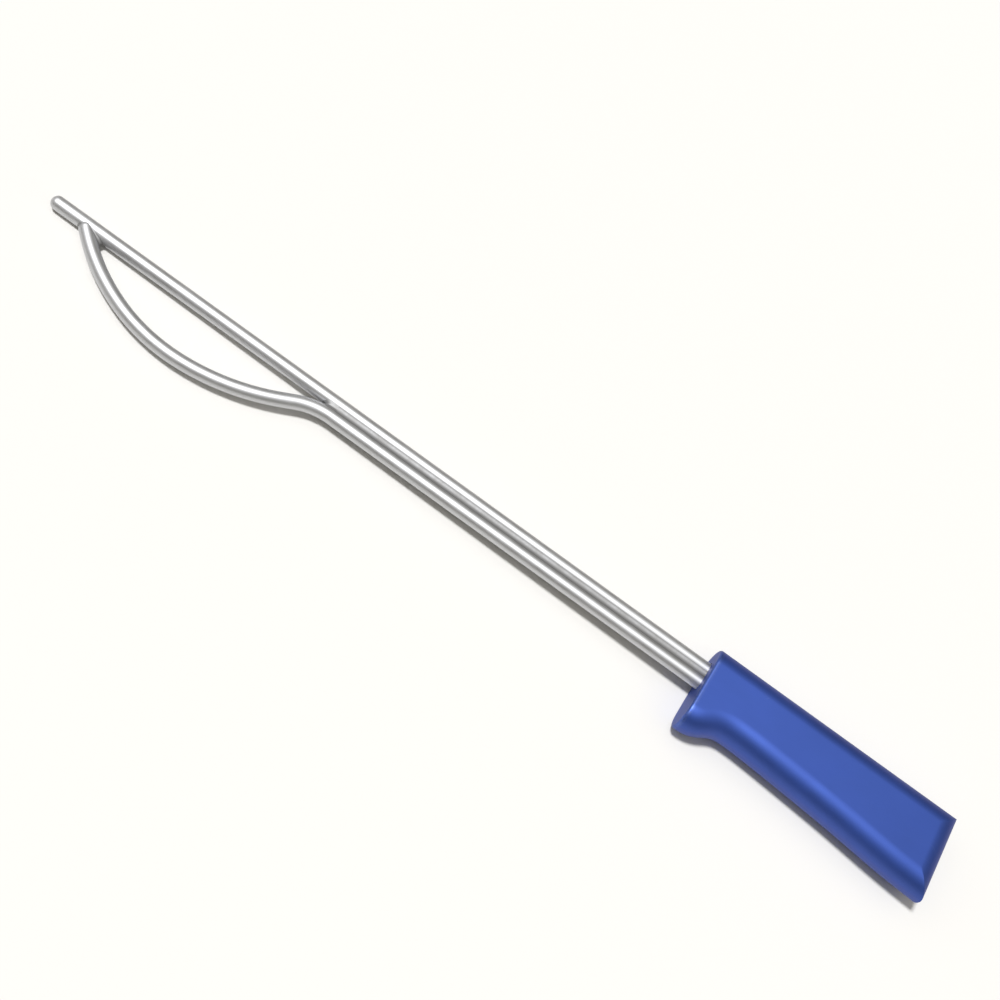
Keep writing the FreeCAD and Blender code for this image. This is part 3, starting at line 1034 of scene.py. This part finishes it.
# key: overhead, small enough for the crisp edge of the shadows
KEY_LEAN, KEY_TURN = radians(-2.0), radians(16.0)
sun = bpy.data.lights.new("key", "SUN")
sun.energy = 2.90
sun.angle = radians(9.0)
sun.color = (1.0, 1.0, 1.0)
sun_o = bpy.data.objects.new("key", sun)
sun_o.rotation_euler = (-KEY_LEAN, -KEY_TURN, 0.0)
bpy.context.scene.collection.objects.link(sun_o)

# soft studio light all round: brightest overhead, even along the instrument, darker towards
# the sides.  Angle from the zenith in degrees, + towards the finger side of the handle.
SKY = [(-100, 0.13), (-75, 0.13), (-55, 0.18), (-42, 0.35), (-30, 0.56), (0, 0.60), (24, 0.54),
       (38, 0.32), (52, 0.17), (70, 0.12), (100, 0.12)]
OVERHEAD, SIDES = (0.985, 0.990, 1.0), (1.0, 0.93, 0.76)
world = bpy.data.worlds.new("studio")
world.use_nodes = True
wt = world.node_tree
bg = wt.nodes["Background"]
direction = wt.nodes.new("ShaderNodeTexCoord").outputs["Generated"]
sep = wt.nodes.new("ShaderNodeSeparateXYZ")
wt.links.new(direction, sep.inputs[0])
neg = math(wt, "MULTIPLY", sep.outputs["Y"], -1.0)
ang = math(wt, "ARCTAN2", neg, sep.outputs["Z"])
pos = math(wt, "MULTIPLY_ADD", ang, 1.0 / (2 * pi))
pos.node.inputs[2].default_value = 0.5
stops = []
for a_, v_ in SKY:
    w_ = min(1.0, abs(a_) / 60.0)
    stops.append(((a_ / 180.0 + 1) / 2, tuple(v_ * (o_ * (1 - w_) + s_ * w_) for o_, s_ in zip(OVERHEAD, SIDES)) + (1,)))
sky = ramp(wt, pos, stops)
path = wt.nodes.new("ShaderNodeLightPath").outputs["Is Camera Ray"]
seen = mix_color(wt, path, sky, (1.0, 1.0, 0.98, 1))
wt.links.new(seen, bg.inputs["Color"])
bg.inputs["Strength"].default_value = 1.0
bpy.context.scene.world = world

# ---------------------------------------------------------------------------
# camera
# ---------------------------------------------------------------------------
THETA, ROLL, FOCAL_PX = radians(28), radians(35.75), 1540.0
es = np.array([1.0, 0, 0])
et = np.array([0, -cos(THETA), -sin(THETA)])
eo = np.array([0, sin(THETA), -cos(THETA)])
P = np.array([173.9, -228.15, 441.01])
right = cos(ROLL) * es - sin(ROLL) * et
down = sin(ROLL) * es + cos(ROLL) * et
cam = bpy.data.cameras.new("camera")
cam.sensor_width = 36.0
cam.lens = FOCAL_PX / 1000.0 * 36.0
cam.clip_start, cam.clip_end = 0.01, 100.0
cam.dof.use_dof = False
cam_o = bpy.data.objects.new("camera", cam)
m = Matrix((Vector(right), Vector(-down), Vector(-eo))).transposed().to_4x4()
m.translation = Vector(to_frame(P))
cam_o.matrix_world = m
bpy.context.scene.collection.objects.link(cam_o)
bpy.context.scene.camera = cam_o

sc = bpy.context.scene
sc.view_settings.view_transform = "Standard"
sc.view_settings.look = "None"
sc.view_settings.exposure = 0.0
sc.view_settings.gamma = 1.0

bpy.context.view_layer.update()
